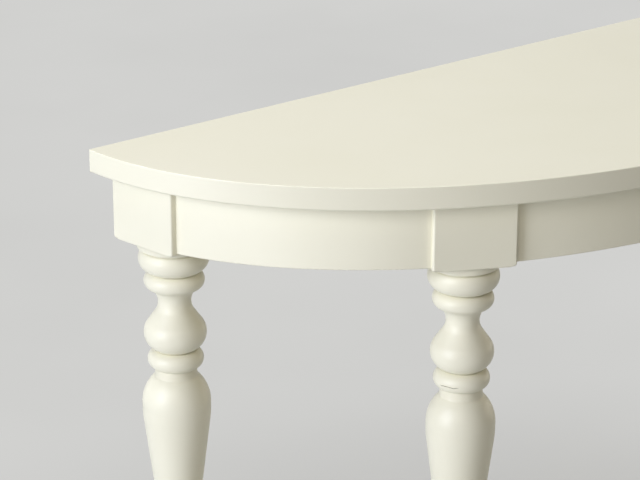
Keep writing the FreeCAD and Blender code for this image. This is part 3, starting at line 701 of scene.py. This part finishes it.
# Sizes are in mm, the rounds as radii
TOP_AXES = (450, 2 * BACK)
TOP_THICKNESS = 19
TOP_HEIGHT = TOP_UNDERSIDE + TOP_THICKNESS
UPPER_ROUND = 0.8
LOWER_ROUND = 1.9
BACK_EDGE = 0.5
TOP_CORNER = 1.2
OVAL_POINTS = 240
BACK_POINTS = 40


def top_outline():
    """Points round the board, with their outward directions and the rounds of the edges there.

    At the two back corners the round below is no larger than the corner's own radius.
    """
    outline = []
    for step in range(1, OVAL_POINTS):
        station = math.pi * step / OVAL_POINTS
        out = Vector((-math.cos(station) / TOP_AXES[0], -math.sin(station) / TOP_AXES[1], 0)).normalized()
        outline.append((on_oval(TOP_AXES, station), out, UPPER_ROUND, LOWER_ROUND))
    corner = Vector((TOP_AXES[0] - TOP_CORNER, BACK - TOP_CORNER, 0))
    for step in range(ROUND_STEPS + 1):
        share = step / ROUND_STEPS
        out = Vector((math.cos(math.pi / 2 * share), math.sin(math.pi / 2 * share), 0))
        upper = UPPER_ROUND + (BACK_EDGE - UPPER_ROUND) * share
        lower = TOP_CORNER + (BACK_EDGE - TOP_CORNER) * share
        outline.append((corner + out * TOP_CORNER, out, upper, lower))
    right_corner = outline[-ROUND_STEPS - 1 :]
    for step in range(1, BACK_POINTS):
        point = Vector((corner.x * (1 - 2 * step / BACK_POINTS), BACK, 0))
        outline.append((point, Vector((0, 1, 0)), BACK_EDGE, BACK_EDGE))
    flip = Vector((-1, 1, 1))
    for point, out, upper, lower in reversed(right_corner):
        outline.append((point * flip, out * flip, upper, lower))
    return outline


rings, normals = [], []
outline = top_outline()
for level, lean in ((TOP_HEIGHT, 1), (TOP_UNDERSIDE, -1)):
    steps = range(ROUND_STEPS + 1)
    for step in steps if lean > 0 else reversed(steps):
        slope = math.radians(90 * (1 - step / ROUND_STEPS))
        up = Vector((0, 0, lean))
        ring = []
        for point, out, upper, lower in outline:
            edge = upper if lean > 0 else lower
            inset = out * edge * (1 - math.cos(slope)) + up * edge * (1 - math.sin(slope))
            ring.append(point + Vector((0, 0, level)) - inset)
        rings.append(ring)
        normals.append([out * math.cos(slope) + up * math.sin(slope) for _, out, _, _ in outline])
mesh = loft("table_top_board", rings, normals)
board = bpy.data.objects.new("table_top_board", mesh)
bpy.context.scene.collection.objects.link(board)
mesh.materials.append(lacquer)
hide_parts("table_top")
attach(board, "root")

# Glides. A moulded nylon disc under each foot, so that the table slides without marking the floor. One
# steel nail holds it, driven up into the end of the leg with its head sunk in the disc.

# Off-white nylon, moulded with a spark-eroded matt: soft and slightly waxy, with a fine even grain. Sizes
# are in mm.
MATT_SIZE = 0.8
MATT_HEIGHT = 0.05
nylon = new_material("Moulded_nylon")
tree = nylon.node_tree
place = add_node(tree, "ShaderNodeTexCoord").outputs["Object"]
grain = add_node(
    tree, "ShaderNodeTexNoise", {"Vector": place, "Scale": 1 / (MATT_SIZE * MM), "Detail": 2.0}
)
colour = add_node(
    tree,
    "ShaderNodeMix",
    {MIX_SHARE: grain.outputs["Fac"], MIX_FIRST: srgb("#DEDACD"), MIX_SECOND: srgb("#E8E5DA")},
    data_type="RGBA",
)
matt = add_node(
    tree,
    "ShaderNodeBump",
    {"Height": grain.outputs["Fac"], "Strength": 0.3, "Distance": MATT_HEIGHT * MM},
)
shader = add_node(
    tree,
    "ShaderNodeBsdfPrincipled",
    {"Base Color": colour.outputs[MIX_OUT], "Roughness": 0.55, "IOR": 1.53, "Normal": matt.outputs[0]},
)
add_node(tree, "ShaderNodeOutputMaterial", {"Surface": shader.outputs[0]})
finish_nodes([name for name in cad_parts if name.endswith("_glide")], nylon)

# Studio. A floor of matt grey paper, a window-sized soft light on the left, a broad one overhead, weaker
# warm ones in front and on the right, and the camera where the photograph was taken from. Far from the table
# the paper shows its own grey to the camera and to reflections, so the background stays even.

# Sizes are in metres. The even grey sets in at the first distance from the table's middle and is full at
# the second.
FLOOR_REACH = 9
EVEN_GREY_FROM = 0.45
EVEN_GREY_FULL = 1.15
PAPER_CLOUDS = 0.6

floor_mesh = bpy.data.meshes.new("studio_floor")
corners = [(x * FLOOR_REACH, y * FLOOR_REACH, 0) for x, y in ((-1, -1), (1, -1), (1, 1), (-1, 1))]
floor_mesh.from_pydata(corners, [], [(0, 1, 2, 3)])
floor = bpy.data.objects.new("studio_floor", floor_mesh)
bpy.context.scene.collection.objects.link(floor)

# Matt paper off a roll: an even pale grey with no shine, and faint clouds about 0.6 m across
paper = new_material("Matt_grey_paper")
tree = paper.node_tree
place = add_node(tree, "ShaderNodeTexCoord").outputs["Object"]
clouds = add_node(
    tree, "ShaderNodeTexNoise", {"Vector": place, "Scale": 1 / PAPER_CLOUDS, "Detail": 3.0}
)
grey = add_node(
    tree,
    "ShaderNodeMix",
    {MIX_SHARE: clouds.outputs["Fac"], MIX_FIRST: srgb("#CBCBC9"), MIX_SECOND: srgb("#D6D6D4")},
    data_type="RGBA",
)
lit = add_node(tree, "ShaderNodeBsdfPrincipled", {"Base Color": grey.outputs[MIX_OUT], "Roughness": 0.9})
plain = add_node(tree, "ShaderNodeEmission", {"Color": grey.outputs[MIX_OUT], "Strength": 1.0})
distance = add_node(tree, "ShaderNodeVectorMath", {0: place}, operation="LENGTH")
far = add_node(
    tree,
    "ShaderNodeMapRange",
    {"Value": distance.outputs["Value"], "From Min": EVEN_GREY_FROM, "From Max": EVEN_GREY_FULL},
    interpolation_type="SMOOTHSTEP",
)
ray = add_node(tree, "ShaderNodeLightPath")
seen = add_node(
    tree,
    "ShaderNodeMath",
    {0: ray.outputs["Is Camera Ray"], 1: ray.outputs["Is Glossy Ray"]},
    operation="MAXIMUM",
)
share = add_node(tree, "ShaderNodeMath", {0: far.outputs[0], 1: seen.outputs[0]}, operation="MULTIPLY")
paper_look = add_node(
    tree, "ShaderNodeMixShader", {0: share.outputs[0], 1: lit.outputs[0], 2: plain.outputs[0]}
)
add_node(tree, "ShaderNodeOutputMaterial", {"Surface": paper_look.outputs[0]})
floor_mesh.materials.append(paper)


# Points that the lamps are turned to, in metres
LEFT_LEGS = (-0.2, 0.0, 0.65)
UNDER_TOP = (0.0, 0.0, 0.7)


def soft_light(name, place, aim, size, power, tint):
    """Rectangular lamp that the camera doesn't see; size is its width and height in metres."""
    light = bpy.data.lights.new(name, "AREA")
    light.shape = "RECTANGLE"
    light.size, light.size_y = size
    light.energy = power
    light.color = srgb(tint)[:3]
    lamp = bpy.data.objects.new(name, light)
    lamp.location = place
    lamp.rotation_euler = (Vector(aim) - Vector(place)).to_track_quat("-Z", "Y").to_euler()
    lamp.visible_camera = False
    bpy.context.scene.collection.objects.link(lamp)


soft_light("window_light", (-2.72, 0.0, 1.28), LEFT_LEGS, size=(1.4, 1.7), power=55.5, tint="#EEF3FF")
soft_light("front_light", (-1.89, -1.42, 2.03), LEFT_LEGS, size=(1.4, 1.4), power=16.0, tint="#FFF6E6")
soft_light("right_light", (2.9, -0.35, 1.0), LEFT_LEGS, size=(2.0, 1.4), power=24.0, tint="#FFF6E2")
soft_light("overhead_light", (-0.3, 0.8, 3.1), UNDER_TOP, size=(1.8, 1.8), power=49.8, tint="#FFFFFF")

# Beyond the paper is a dim room, so that shaded sides stay shaded. Where it is seen or reflected it shows
# the paper's grey.
world = bpy.data.worlds.new("studio_surround")
bpy.context.scene.world = world
world.use_nodes = True
tree = world.node_tree
tree.nodes.clear()
ray = add_node(tree, "ShaderNodeLightPath")
shade = add_node(tree, "ShaderNodeBackground", {"Color": srgb("#2C2B28"), "Strength": 1.0})
backdrop = add_node(tree, "ShaderNodeBackground", {"Color": srgb("#CFCFCD"), "Strength": 1.0})
seen = add_node(
    tree,
    "ShaderNodeMath",
    {0: ray.outputs["Is Camera Ray"], 1: ray.outputs["Is Glossy Ray"]},
    operation="MAXIMUM",
)
surround = add_node(
    tree, "ShaderNodeMixShader", {0: seen.outputs[0], 1: shade.outputs[0], 2: backdrop.outputs[0]}
)
add_node(tree, "ShaderNodeOutputWorld", {"Surface": surround.outputs[0]})

# The camera's place in metres, its angles, and its focal length in pixels of the photograph
CAMERA_PLACE = (-1.4859, -1.3981, 1.36702)
YAW, PITCH, ROLL = (math.radians(angle) for angle in (39.238, 20.429, -0.015))
FOCAL_PIXELS = 2468.97
FRAME_WIDTH = 640
camera_data = bpy.data.cameras.new("photo_camera")
camera_data.sensor_width = 36
camera_data.lens = FOCAL_PIXELS / FRAME_WIDTH * camera_data.sensor_width
camera = bpy.data.objects.new("photo_camera", camera_data)
bpy.context.scene.collection.objects.link(camera)
ahead = Vector((math.sin(YAW) * math.cos(PITCH), math.cos(YAW) * math.cos(PITCH), -math.sin(PITCH)))
level_right = Vector((math.cos(YAW), -math.sin(YAW), 0))
level_down = ahead.cross(level_right)
right = level_right * math.cos(ROLL) + level_down * math.sin(ROLL)
up = level_right * math.sin(ROLL) - level_down * math.cos(ROLL)
turned = Matrix((right, up, -ahead)).transposed().to_4x4()
camera.matrix_world = Matrix.Translation(CAMERA_PLACE) @ turned
bpy.context.scene.camera = camera
bpy.context.scene.view_settings.view_transform = "Standard"
